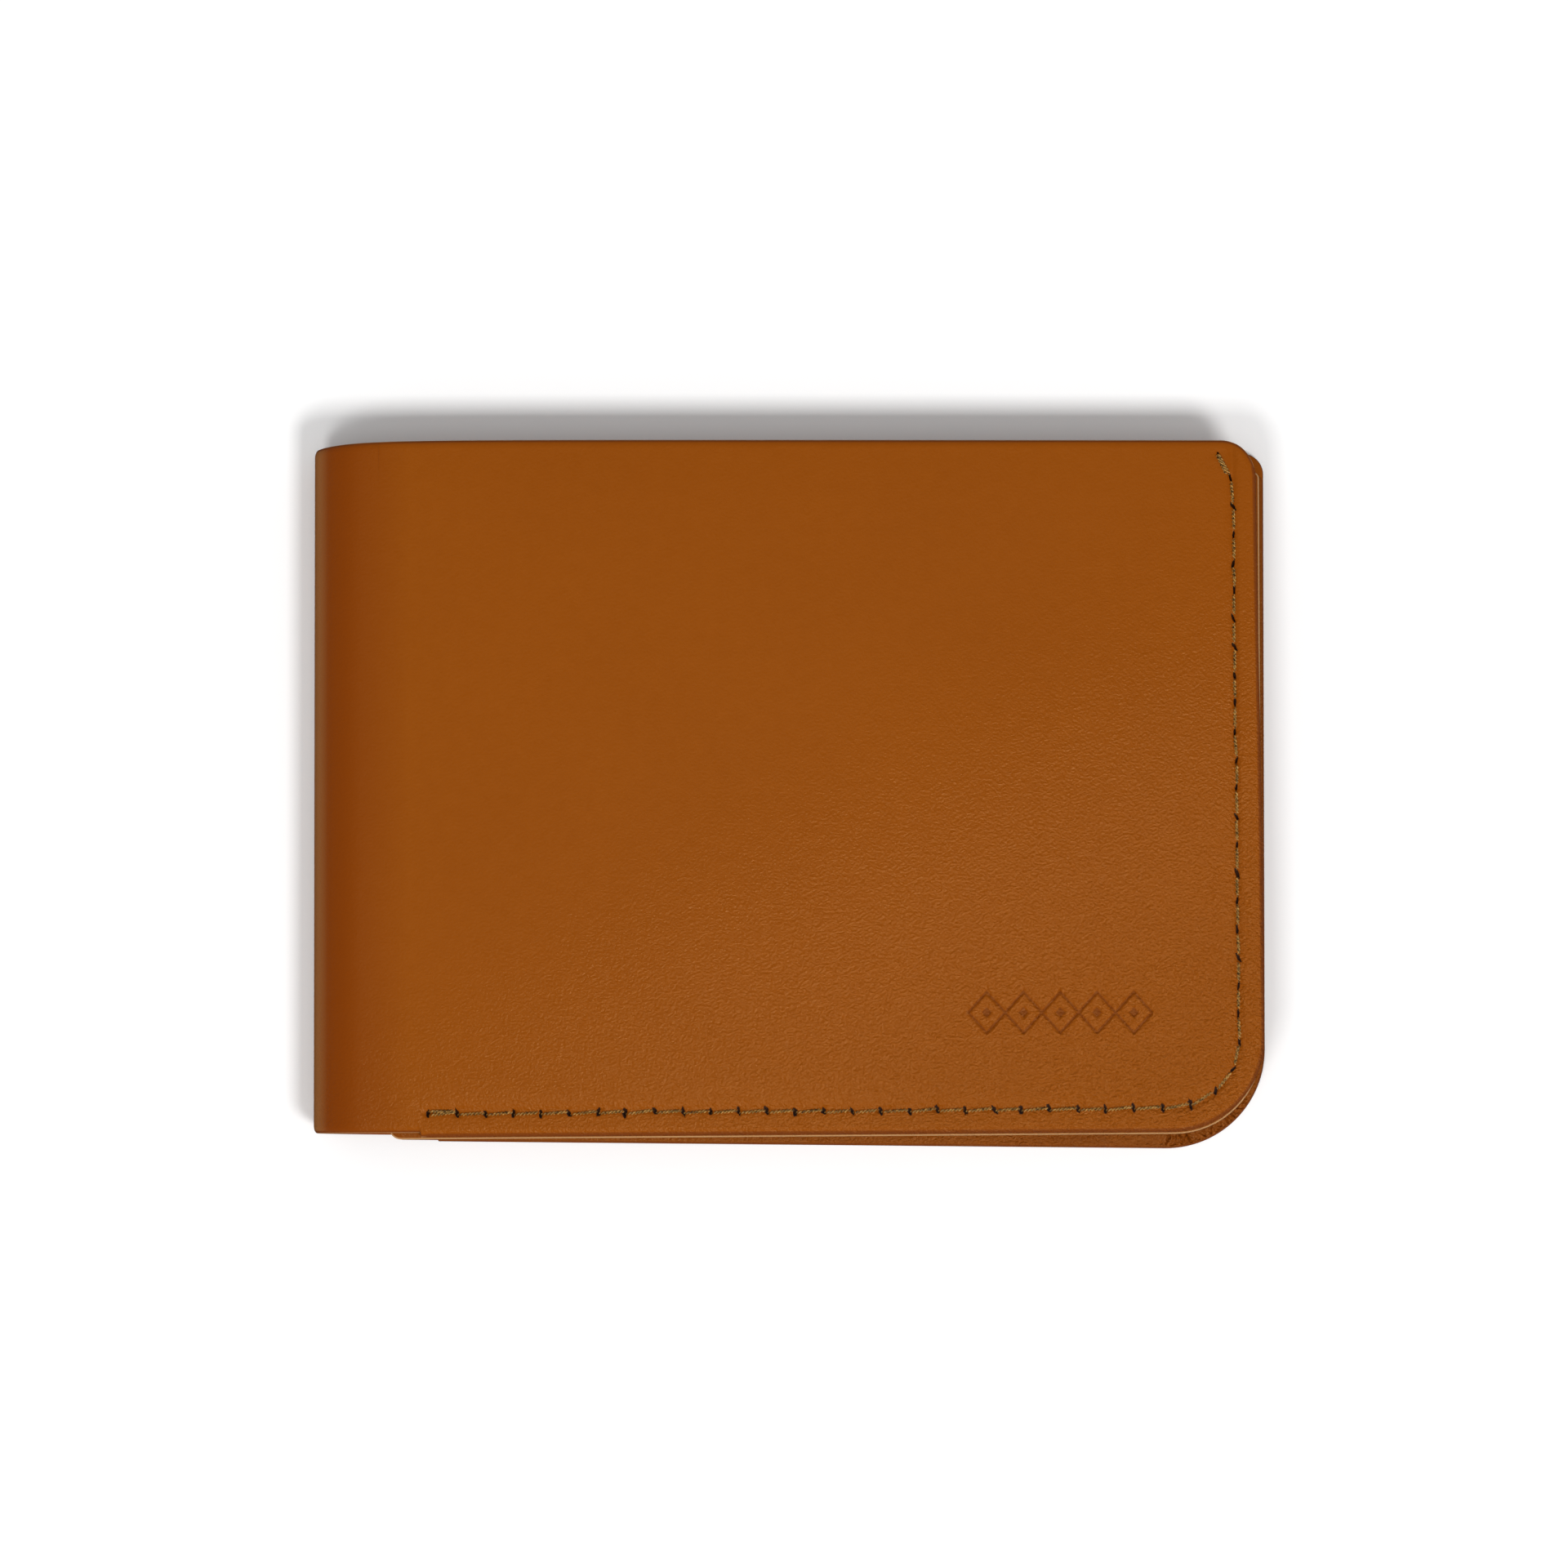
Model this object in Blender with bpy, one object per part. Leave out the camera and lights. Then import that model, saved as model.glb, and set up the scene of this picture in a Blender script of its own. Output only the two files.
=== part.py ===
"""Bifold wallet in smooth tan leather, closed and lying on its back cover.

Frame: metres, +Z up. The folded spine is at -X and the stitched end at +X. The note compartment
and the card pockets open towards +Y. The origin is the middle of the closed wallet's footprint,
on the surface that it lies on.

One wrap of leather makes the back cover, the spine and the front cover. Each half carries the
same stack of layers, from the outside in: cover, note lining, inner panel, slip panel and three
staggered card pockets. The fold is two hinge lines, one at each side of the spine.
"""

import math
from collections import namedtuple

import bmesh
import bpy

MM = 0.001

# Driving dimensions, in millimetres.
CLOSED_LENGTH = 117.0  # spine to stitched end
SPINE_TO_TOP = 43.5  # from the middle to the open edge, at the spine
SPINE_TO_BOTTOM = 42.4  # from the middle to the stitched bottom edge, at the spine
COVER = 0.9
LINING = 0.25
INNER_PANEL = 0.5
POCKET = 0.4  # slip panel and card pockets
GAP = 0.3  # between neighbouring layers
HALF_GAP = 0.2  # from the innermost pocket to the middle plane

POCKET_COUNT = 3
LAYERS_INSIDE = 2 + 1 + POCKET_COUNT  # lining and inner panel, slip panel, pockets
HALF_THICKNESS = COVER + LINING + INNER_PANEL + (1 + POCKET_COUNT) * POCKET + LAYERS_INSIDE * GAP + HALF_GAP
THICKNESS = 2 * HALF_THICKNESS

# The spine's cross-section is half an ellipse, measured to the middle of the leather.
SPINE_DEPTH = 5.5  # along X
SPINE_RISE = HALF_THICKNESS - COVER / 2
SPINE_TANGENT = -CLOSED_LENGTH / 2 + COVER / 2 + SPINE_DEPTH  # where cover and spine meet, along X
SPINE_STEPS = 24
SPINE_END = math.radians(6)  # the strip stops this far short of the covers
SPINE_PULL_IN = 1.0  # the leather draws in at the fold's open end

NOTCH = 0.75  # the covers are this much narrower beside the spine, where no seam holds them
SEAM_INSET = 2.9
SEAM_WIDTH = 0.5
SEAM_HEIGHT = 0.3
CHANNEL_WIDTH = 1.1
CHANNEL_DEPTH = 0.5
POCKET_SEAM_HEIGHT = 0.12
POCKET_CHANNEL_DEPTH = 0.2

LINING_START = -51.0
PANEL_START = -49.2
POCKET_START = -46.4
POCKET_SEAM_X = -44.6
POCKET_TOP = 24.0  # the outermost pocket's mouth
POCKET_STEP = 11.0  # each further pocket is this much lower
MARGIN = 0.4  # the inner layers stop this far inside the cover's edge
PANEL_DROP = 4.0  # the inner panel's mouth is this much lower than the cover's
TAB_CORNER = 1.6

# The halves lean apart by a degree in the closed wallet, because the fold is not quite square to
# the cover. Each lean is the rise of a side over its run.
Half = namedtuple("Half", "name bottom_lean top_lean end_lean end_x corner top_corner notch_end")
BACK = Half("back", -0.0095, -0.0095, -0.0010, CLOSED_LENGTH / 2, 12.2, 2.6, -43.3)
FRONT = Half("front", 0.0072, -0.0010, -0.0110, CLOSED_LENGTH / 2 - 0.75, 11.5, 4.6, -45.0)

TAN = (0.300, 0.078, 0.008)
TAN_INSIDE = (0.330, 0.100, 0.018)
LINING_BROWN = (0.085, 0.040, 0.018)
THREAD_OLIVE = (0.190, 0.105, 0.030)


def clear_scene():
    for obj in list(bpy.data.objects):
        bpy.data.objects.remove(obj)


def make_material(name, color, roughness):
    material = bpy.data.materials.new(name)
    material.use_nodes = True
    shader = material.node_tree.nodes["Principled BSDF"]
    shader.inputs["Base Color"].default_value = (*color, 1.0)
    shader.inputs["Roughness"].default_value = roughness
    shader.inputs["Metallic"].default_value = 0.0
    material.diffuse_color = (*color, 1.0)
    return material


def crossing(point_a, along_a, point_b, along_b):
    """Where two lines in the plan meet, each given by a point and a direction."""
    cross = along_a[0] * along_b[1] - along_a[1] * along_b[0]
    dx = point_b[0] - point_a[0]
    dy = point_b[1] - point_a[1]
    share = (dx * along_b[1] - dy * along_b[0]) / cross
    return (point_a[0] + share * along_a[0], point_a[1] + share * along_a[1])


def rounded_corner(corner, along_in, along_out, radius, steps=8):
    """Points of the arc that rounds off a left turn."""
    heading_in = math.atan2(along_in[1], along_in[0])
    heading_out = math.atan2(along_out[1], along_out[0])
    turn = (heading_out - heading_in) % (2 * math.pi)
    reach = radius * math.tan(turn / 2)
    center_x = corner[0] - reach * math.cos(heading_in) - radius * math.sin(heading_in)
    center_y = corner[1] - reach * math.sin(heading_in) + radius * math.cos(heading_in)
    points = []
    for step in range(steps + 1):
        angle = heading_in - math.pi / 2 + turn * step / steps
        points.append((center_x + radius * math.cos(angle), center_y + radius * math.sin(angle)))
    return points


def sides(half, inset):
    """Bottom, end and top side of a half, each as a point and a direction, drawn in by inset."""
    spine_x = -CLOSED_LENGTH / 2
    bottom = ((spine_x, -SPINE_TO_BOTTOM + inset), (1.0, half.bottom_lean))
    end = ((half.end_x - inset, 0.0), (half.end_lean, 1.0))
    top = ((spine_x, SPINE_TO_TOP - inset), (-1.0, -half.top_lean))
    return bottom, end, top


def height_on(side, x):
    point, along = side
    return point[1] + (x - point[0]) * along[1] / along[0]


def cover_outline(half, start_x):
    """The cover's plan, with the notch beside the spine and both outer corners rounded."""
    bottom, end, top = sides(half, 0.0)
    points = [
        (start_x, height_on(bottom, start_x) + NOTCH),
        (half.notch_end - 0.4, height_on(bottom, half.notch_end) + NOTCH),
        (half.notch_end, height_on(bottom, half.notch_end)),
    ]
    points += rounded_corner(crossing(*bottom, *end), bottom[1], end[1], half.corner)
    points += rounded_corner(crossing(*end, *top), end[1], top[1], half.top_corner, steps=4)
    points.append((start_x, height_on(top, start_x)))
    return points


def layer_outline(half, start_x, mouth_y, start_corner):
    """The plan of a layer inside the cover, with its mouth at mouth_y."""
    bottom, end, _ = sides(half, MARGIN)
    mouth = ((0.0, mouth_y), (-1.0, 0.0))
    start = ((start_x, 0.0), (0.0, -1.0))
    points = rounded_corner(crossing(*start, *bottom), start[1], bottom[1], start_corner, steps=4)
    points += rounded_corner(crossing(*bottom, *end), bottom[1], end[1], half.corner - MARGIN)
    points += rounded_corner(crossing(*end, *mouth), end[1], mouth[1], 0.6, steps=2)
    points += rounded_corner(crossing(*mouth, *start), mouth[1], start[1], start_corner, steps=3)
    return points


def seam_path(half):
    """The edge seam's line: along the bottom, round the corner and up the stitched end."""
    bottom, end, top = sides(half, SEAM_INSET)
    start_x = half.notch_end + 0.6
    start = (start_x, height_on(bottom, start_x))
    corner = rounded_corner(crossing(*bottom, *end), bottom[1], end[1], half.corner - SEAM_INSET)
    finish = crossing(*end, *top)
    return [start, *corner, (finish[0], finish[1] + SEAM_INSET - 1.6)]


def ribbon_outline(path, width):
    """The plan of a flat ribbon of this width along an open path."""
    left = []
    right = []
    for index, (x, y) in enumerate(path):
        before = path[max(index - 1, 0)]
        after = path[min(index + 1, len(path) - 1)]
        heading = math.atan2(after[1] - before[1], after[0] - before[0])
        side_x = -math.sin(heading) * width / 2
        side_y = math.cos(heading) * width / 2
        left.append((x + side_x, y + side_y))
        right.append((x - side_x, y - side_y))
    return right + left[::-1]


def new_object(name, bm, material):
    bmesh.ops.recalc_face_normals(bm, faces=bm.faces)
    mesh = bpy.data.meshes.new(name)
    bm.to_mesh(mesh)
    bm.free()
    obj = bpy.data.objects.new(name, mesh)
    bpy.context.scene.collection.objects.link(obj)
    if material:
        mesh.materials.append(material)
    return obj


def on_half(half, z):
    """A height counted from the outer face of a half, as a height in the closed wallet."""
    return z if half is BACK else THICKNESS - z


def plate(name, outline, half, near, far, material):
    """A flat layer between two heights counted from the half's outer face."""
    bm = bmesh.new()
    low = min(on_half(half, near), on_half(half, far))
    corners = [bm.verts.new((x * MM, y * MM, low * MM)) for x, y in outline]
    base = bm.faces.new(corners)
    raised = bmesh.ops.extrude_face_region(bm, geom=[base])["geom"]
    moved = [item for item in raised if isinstance(item, bmesh.types.BMVert)]
    bmesh.ops.translate(bm, vec=(0.0, 0.0, abs(far - near) * MM), verts=moved)
    return new_object(name, bm, material)


def cut_channel(obj, half, path, near, far):
    """Cuts the groove that a seam's thread lies in."""
    cutter = plate(obj.name + "_cutter", ribbon_outline(path, CHANNEL_WIDTH), half, near, far, None)
    cutter.hide_render = True
    cutter.display_type = "WIRE"
    cut = obj.modifiers.new("seam_channel", "BOOLEAN")
    cut.operation = "DIFFERENCE"
    cut.object = cutter


def longer(path, by):
    """The same open path with both ends run on by this much."""
    def run_on(end, inner):
        length = math.dist(end, inner)
        return tuple(e + (e - i) * by / length for e, i in zip(end, inner))

    return [run_on(path[0], path[1]), *path[1:-1], run_on(path[-1], path[-2])]


def spine_strip(name, depth_in, thickness, bottom_y, top_y, end_angle, material):
    """A strip bent round the fold, its outer face depth_in inside the wallet's outer face."""
    bm = bmesh.new()
    loops = []
    for step in range(SPINE_STEPS + 1):
        angle = end_angle + (math.pi - 2 * end_angle) * step / SPINE_STEPS
        x = -SPINE_DEPTH * math.sin(angle)
        z = -SPINE_RISE * math.cos(angle)
        normal_x = SPINE_RISE * math.sin(angle)
        normal_z = SPINE_DEPTH * math.cos(angle)
        length = math.hypot(normal_x, normal_z)
        loop = []
        for inward in (depth_in - COVER / 2, depth_in - COVER / 2 + thickness):
            wall_x = SPINE_TANGENT + x + inward * normal_x / length
            wall_z = HALF_THICKNESS + z + inward * normal_z / length
            for y in (bottom_y, top_y):
                loop.append(bm.verts.new((wall_x * MM, y * MM, wall_z * MM)))
        outer_low, outer_high, inner_low, inner_high = loop
        loops.append((outer_low, outer_high, inner_high, inner_low))
    for one, two in zip(loops, loops[1:]):
        for index in range(4):
            after = (index + 1) % 4
            bm.faces.new((one[index], one[after], two[after], two[index]))
    bm.faces.new(loops[0])
    bm.faces.new(loops[-1][::-1])
    return new_object(name, bm, material)


def build_half(half, leather, inside_leather, lining, thread):
    cover = plate(f"{half.name}_cover", cover_outline(half, SPINE_TANGENT), half, 0.0, COVER, leather)
    path = seam_path(half)
    cut_channel(cover, half, longer(path, CHANNEL_WIDTH / 2), -CHANNEL_DEPTH, CHANNEL_DEPTH)
    seam_face = (CHANNEL_DEPTH - SEAM_HEIGHT) / 2
    plate(
        f"{half.name}_edge_seam",
        ribbon_outline(path, SEAM_WIDTH),
        half,
        seam_face,
        seam_face + SEAM_HEIGHT,
        thread,
    )

    mouth_y = SPINE_TO_TOP - PANEL_DROP
    inner_layers = [
        ("note_lining", LINING, LINING_START, mouth_y + 2.0, lining),
        ("inner_panel", INNER_PANEL, PANEL_START, mouth_y, inside_leather),
        ("slip_panel", POCKET, POCKET_START, POCKET_TOP + POCKET_STEP, inside_leather),
    ]
    for number in range(POCKET_COUNT):
        layer = (f"card_pocket_{number + 1}", POCKET, POCKET_START, POCKET_TOP - number * POCKET_STEP)
        inner_layers.append((*layer, inside_leather))

    depth = COVER
    for name, thickness, start_x, mouth, material in inner_layers:
        depth += GAP
        outline = layer_outline(half, start_x, mouth, TAB_CORNER)
        layer = plate(f"{half.name}_{name}", outline, half, depth, depth + thickness, material)
        depth += thickness

    bottom, _, _ = sides(half, SEAM_INSET)
    pocket_mouth = POCKET_TOP - (POCKET_COUNT - 1) * POCKET_STEP
    seam_bottom = height_on(bottom, POCKET_SEAM_X) + 1.0
    pocket_path = [(POCKET_SEAM_X, seam_bottom), (POCKET_SEAM_X, pocket_mouth - 2.0)]
    channel = depth - POCKET_CHANNEL_DEPTH
    cut_channel(layer, half, longer(pocket_path, CHANNEL_WIDTH / 2), channel, depth + GAP)
    seam_face = channel + (POCKET_CHANNEL_DEPTH - POCKET_SEAM_HEIGHT) / 2
    plate(
        f"{half.name}_pocket_seam",
        ribbon_outline(pocket_path, SEAM_WIDTH),
        half,
        seam_face,
        seam_face + POCKET_SEAM_HEIGHT,
        thread,
    )


def main():
    clear_scene()
    leather = make_material("tan_leather", TAN, 0.42)
    inside_leather = make_material("inside_leather", TAN_INSIDE, 0.5)
    lining = make_material("lining_fabric", LINING_BROWN, 0.85)
    thread = make_material("olive_thread", THREAD_OLIVE, 0.6)
    for half in (BACK, FRONT):
        build_half(half, leather, inside_leather, lining, thread)

    spine_bottom = -SPINE_TO_BOTTOM + NOTCH
    spine_top = SPINE_TO_TOP - SPINE_PULL_IN
    spine_strip("spine_cover", 0.0, COVER, spine_bottom, spine_top, SPINE_END, leather)
    lining_args = (spine_bottom + 1.0, spine_top - 1.0, math.radians(26), inside_leather)
    spine_strip("spine_lining", COVER + GAP, INNER_PANEL, *lining_args)


main()
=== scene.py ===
"""Looks of a closed bifold wallet in smooth tan leather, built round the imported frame.

Lengths are millimetres until a mesh is made. "Depth" is counted inwards from a half's outer face.
The spine is at -X, the stitched end at +X, the mouths face +Y and the front cover is up.
"""

import math
from collections import namedtuple

import bmesh
import bpy
import numpy as np
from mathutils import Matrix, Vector


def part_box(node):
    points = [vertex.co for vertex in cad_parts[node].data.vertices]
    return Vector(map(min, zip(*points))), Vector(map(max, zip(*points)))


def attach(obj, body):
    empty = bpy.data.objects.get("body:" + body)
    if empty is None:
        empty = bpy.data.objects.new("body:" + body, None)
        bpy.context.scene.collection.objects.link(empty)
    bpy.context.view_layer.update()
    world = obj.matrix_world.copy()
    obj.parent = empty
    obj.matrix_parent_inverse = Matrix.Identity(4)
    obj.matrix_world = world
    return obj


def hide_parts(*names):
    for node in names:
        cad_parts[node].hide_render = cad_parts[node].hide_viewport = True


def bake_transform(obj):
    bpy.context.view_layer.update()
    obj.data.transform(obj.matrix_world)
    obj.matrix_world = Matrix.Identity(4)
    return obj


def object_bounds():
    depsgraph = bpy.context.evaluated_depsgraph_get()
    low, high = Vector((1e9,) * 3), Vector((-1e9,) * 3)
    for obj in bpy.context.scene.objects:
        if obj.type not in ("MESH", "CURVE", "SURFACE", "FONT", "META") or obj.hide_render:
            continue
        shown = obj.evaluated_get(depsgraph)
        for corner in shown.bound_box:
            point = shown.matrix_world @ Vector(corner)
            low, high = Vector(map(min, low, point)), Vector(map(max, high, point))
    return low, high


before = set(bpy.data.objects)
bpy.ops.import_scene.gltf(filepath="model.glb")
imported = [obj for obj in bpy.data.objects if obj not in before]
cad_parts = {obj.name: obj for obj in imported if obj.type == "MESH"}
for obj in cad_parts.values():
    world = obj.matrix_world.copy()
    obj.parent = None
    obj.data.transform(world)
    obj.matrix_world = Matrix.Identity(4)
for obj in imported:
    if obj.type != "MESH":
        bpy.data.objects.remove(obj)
cad_low, cad_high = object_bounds()

MM = 0.001


def box_mm(node):
    low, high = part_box(node)
    return [value / MM for value in low], [value / MM for value in high]


# Sizes read from the frame.
SPINE_X = cad_low[0] / MM
THICKNESS = cad_high[2] / MM
MIDDLE = THICKNESS / 2
CLOSED_LENGTH = 2 * abs(SPINE_X)
TANGENT_X = box_mm("front_cover")[0][0]
PANEL_START = box_mm("front_inner_panel")[0][0]
POCKET_START = box_mm("front_card_pocket_1")[0][0]
POCKET_SEAM_X = (box_mm("front_pocket_seam")[0][0] + box_mm("front_pocket_seam")[1][0]) / 2

# The cover's plan and leather, as in the CAD model.
SPINE_TO_TOP = 43.5
SPINE_TO_BOTTOM = 42.4
FLAT_START = -50.5  # the rigid part of each cover begins here, the rest bends with the spine
COVER = 0.9
HEM = 1.5  # the cover with its turned edge
HEM_WIDTH = 7.0
NOTCH = 0.75

# The edge seam.
SEAM_INSET = 3.12
STITCH_PITCH = 3.5
STRAND_RADIUS = 0.105  # of each of the thread's two strands
STRAND_OFFSET = 0.125  # from the thread's middle
TWIST = 0.9  # along the thread, for one turn
SEAM_BEND = 1.4  # the seam bends this far below its upper corner
SEAM_TAIL = 2.0  # and ends this far past it, inwards and upwards

# The turn of the leather round the spine is half an ellipse.
SPINE_DEPTH = TANGENT_X - SPINE_X - COVER / 2
SPINE_RISE = MIDDLE - COVER / 2


def quarter_ellipse(a, b):
    """The length of a quarter of an ellipse, by Ramanujan's formula."""
    return math.pi * (3 * (a + b) - math.sqrt((3 * a + b) * (a + 3 * b))) / 4


QUARTER = quarter_ellipse(SPINE_DEPTH, SPINE_RISE)  # from a tangent line to the spine's middle
FOLD_X = TANGENT_X - QUARTER  # where the spine's middle would lie if a half ran on flat

# Lean of each side, as rise over run: the closed halves lie skewed by about a degree. set_back is
# how far the cover's bottom edge stops short of its inner panel's raw edge, and draw how far its
# end draws back towards the mouth.
Half = namedtuple(
    "Half", "name bottom_lean top_lean end_lean end_x corner top_corner notch_end set_back draw"
)
BACK = Half("back", -0.0095, -0.0095, -0.0010, CLOSED_LENGTH / 2, 12.2, 2.6, -43.3, 0.0, 0.0)
FRONT = Half("front", 0.0072, -0.0010, -0.0110, CLOSED_LENGTH / 2 - 0.75, 11.5, 4.6, -45.0, 0.22, 0.22)

# A closed plan outline. Each side is a point and a direction, and start_corner is None where the
# sheet goes on into the spine.
Outline = namedtuple("Outline", "bottom end top start_x corner top_corner start_corner")


def smooth(low, high, value):
    """0 below low, 1 above high, and an even turn between them."""
    t = np.clip((value - low) / (high - low), 0.0, 1.0)
    return t * t * (3 - 2 * t)


def bell(center, width, value):
    return np.exp(-(((value - center) / width) ** 2))


def spread(*stops):
    """Evenly stepped positions through stops given as position, step, position, step, position."""
    places = [stops[0]]
    for start, step, stop in zip(stops[0:-2:2], stops[1:-1:2], stops[2::2]):
        count = max(1, round(abs(stop - start) / step))
        places += [start + (stop - start) * k / count for k in range(1, count + 1)]
    return np.array(places)


def shares(places):
    return (places - places[0]) / (places[-1] - places[0])


# ---------------------------------------------------------------- plan outlines


def run_lengths(points):
    """Distance along a line of points, from its first."""
    steps = np.linalg.norm(np.diff(points, axis=0), axis=1)
    return np.concatenate([[0.0], np.cumsum(steps)])


def points_along(line, distances):
    lengths = run_lengths(line)
    return np.stack([np.interp(distances, lengths, values) for values in line.T], 1)


def crossing(one, two):
    """Where two lines meet, each given by a point and a direction."""
    (ax, ay), (ux, uy) = one
    (bx, by), (vx, vy) = two
    share = ((bx - ax) * vy - (by - ay) * vx) / (ux * vy - uy * vx)
    return (ax + share * ux, ay + share * uy)


def arc_between(one, two, radius, steps):
    """Points of the arc that rounds off the left turn from one line to the next."""
    corner = crossing(one, two)
    heading = math.atan2(one[1][1], one[1][0])
    turn = (math.atan2(two[1][1], two[1][0]) - heading) % (2 * math.pi)
    reach = radius * math.tan(turn / 2)
    center_x = corner[0] - reach * math.cos(heading) - radius * math.sin(heading)
    center_y = corner[1] - reach * math.sin(heading) + radius * math.cos(heading)
    angles = heading - math.pi / 2 + turn * np.linspace(0.0, 1.0, steps + 1)
    return np.stack([center_x + radius * np.cos(angles), center_y + radius * np.sin(angles)], 1)


def pushed_in(line, inset):
    """The line moved to its left by inset."""
    (x, y), (ux, uy) = line
    length = math.hypot(ux, uy)
    return ((x - inset * uy / length, y + inset * ux / length), (ux, uy))


def straight(start, stop, places):
    start = np.array(start)
    return start + (np.array(stop) - start) * places[:, None]


def cover_sides(half):
    bottom = ((FOLD_X, -SPINE_TO_BOTTOM), (1.0, half.bottom_lean))
    end = ((half.end_x, 0.0), (half.end_lean, 1.0))
    top = ((FOLD_X, SPINE_TO_TOP), (-1.0, -half.top_lean))
    return bottom, end, top


def corner_center(half):
    bottom, end, _ = [pushed_in(side, half.corner) for side in cover_sides(half)]
    return crossing(bottom, end)


def fold_distance(x):
    """Distance along the leather from the middle of the spine, for a place on a flat half."""
    return x - FOLD_X


def pull_in(distance):
    """How far the leather draws in at the fold's ends, at a distance from the spine's middle."""
    most, reach = 1.1, 7.0
    return most / (1.0 + (distance / reach) ** 2)


def shape_edges(half, points):
    """Adds the notch beside the spine and the fold's pull to the points of a cover."""
    x, y = points[:, 0], points[:, 1]
    distance = fold_distance(x)
    low = smooth(0.0, -20.0, y)
    high = smooth(10.0, 40.0, y)
    notch = NOTCH * (1.0 - smooth(half.notch_end - 0.35, half.notch_end, x))
    notch = np.maximum(notch, half.set_back)
    y = y + low * (notch + 0.05 * pull_in(distance)) - high * pull_in(distance)
    x = x - half.draw * smooth(-6.0, 36.0, y) * smooth(54.6, 57.2, x)
    return np.stack([x, y], 1)


def ring_points(outline, inset, xs, ys, arc):
    """The outline pushed in by inset, as one row of points that every inset shares the order of."""
    bottom, end, top = [pushed_in(line, inset) for line in outline[:3]]

    def rounded(one, two, radius):
        return arc_between(one, two, max(radius - inset, 0.25), 2 * arc)

    first = rounded(bottom, end, outline.corner)
    second = rounded(end, top, outline.top_corner)
    if outline.start_corner is None:
        start = ((outline.start_x, 0.0), (0.0, -1.0))
        low, high = crossing(start, bottom), crossing(top, start)
        parts = [straight(low, first[0], xs)[:-1], first[:-1]]
        parts += [straight(first[-1], second[0], ys)[:-1], second[:-1]]
        parts += [straight(second[-1], high, 1.0 - xs[::-1])]
        return np.concatenate(parts)
    start = ((outline.start_x + inset, 0.0), (0.0, -1.0))
    third = rounded(top, start, outline.start_corner)
    fourth = rounded(start, bottom, outline.start_corner)
    parts = [fourth[arc:-1], straight(fourth[-1], first[0], xs)[:-1], first[:-1]]
    parts += [straight(first[-1], second[0], ys)[:-1], second[:-1]]
    parts += [straight(second[-1], third[0], 1.0 - xs[::-1])[:-1], third[:-1]]
    parts += [straight(third[-1], fourth[0], 1.0 - ys[::-1])[:-1], fourth[:arc]]
    return np.concatenate(parts)


def grid_inside(points, low_side, end_side, high_side, start_side):
    """The inner points and the faces of a grid that follows all four sides of an outline.

    Each side is a row of indices into points, from left to right or from bottom to top.
    """
    nx, ny = len(low_side) - 1, len(end_side) - 1
    u = shares(points[low_side, 0])[1:-1, None, None]
    v = shares(points[end_side, 1])[None, 1:-1, None]
    low, high = points[low_side][1:-1, None], points[high_side][1:-1, None]
    left, right = points[start_side][None, 1:-1], points[end_side][None, 1:-1]
    corners = [points[i] for i in (low_side[0], low_side[-1], high_side[0], high_side[-1])]
    inner = (1 - v) * low + v * high + (1 - u) * left + u * right
    inner -= (1 - u) * (1 - v) * corners[0] + u * (1 - v) * corners[1]
    inner -= (1 - u) * v * corners[2] + u * v * corners[3]
    grid = np.zeros((nx + 1, ny + 1), int)
    grid[:, 0], grid[:, -1], grid[0, :], grid[-1, :] = low_side, high_side, start_side, end_side
    grid[1:-1, 1:-1] = len(points) + np.arange((nx - 1) * (ny - 1)).reshape(nx - 1, ny - 1)
    quads = np.stack([grid[:-1, :-1], grid[1:, :-1], grid[1:, 1:], grid[:-1, 1:]], -1)
    return inner.reshape(-1, 2), [tuple(quad) for quad in quads.reshape(-1, 4)]


def ring_surface(outline, insets, xs, ys, arc, filled):
    """One face of a sheet: rings along its edges, then a grid or a single face inside them.

    Returns the plan points, the index of each one's ring, the faces, the points along the side that
    stays open at the spine, from bottom to top, or None, and how many points a ring has.
    """
    is_open = outline.start_corner is None
    rings = [ring_points(outline, inset, xs, ys, arc) for inset in insets]
    count = len(rings[0])
    points = np.concatenate(rings)
    ring_of = np.repeat(np.arange(len(rings)), count)
    faces = []
    for k in range(len(rings) - 1):
        for i in range(count if not is_open else count - 1):
            after = (i + 1) % count
            a, b = k * count + i, k * count + after
            faces.append((a, b, b + count, a + count))
    last = (len(rings) - 1) * count
    nx = len(xs) - 1 + (arc if is_open else 2 * arc)
    ny = len(ys) - 1 + 2 * arc
    low_side = last + np.arange(nx + 1)
    end_side = last + np.arange(nx, nx + ny + 1)
    high_side = last + np.arange(nx + ny, 2 * nx + ny + 1)[::-1]
    if is_open:
        heights = shares(points[end_side, 1])
        start = straight(points[low_side[0]], points[high_side[0]], heights)[1:-1]
        start_side = np.concatenate([[low_side[0]], len(points) + np.arange(ny - 1), [high_side[0]]])
        points = np.concatenate([points, start])
    else:
        around = (np.arange(2 * nx + ny, 2 * nx + 2 * ny + 1)) % count
        start_side = last + around[::-1]
    if filled:
        inner, quads = grid_inside(points, low_side, end_side, high_side, start_side)
        points = np.concatenate([points, inner])
        faces += quads
    elif is_open:
        faces.append(tuple(last + np.arange(count)) + tuple(start_side[1:-1][::-1]))
    else:
        faces.append(tuple(last + np.arange(count)))
    ring_of = np.concatenate([ring_of, np.full(len(points) - len(ring_of), len(rings))])
    side = None
    if is_open:
        ring_starts = np.arange(len(rings) - 1) * count
        side = [*ring_starts, *start_side, *(ring_starts + count - 1)[::-1]]
    return points, ring_of, faces, side, count


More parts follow.
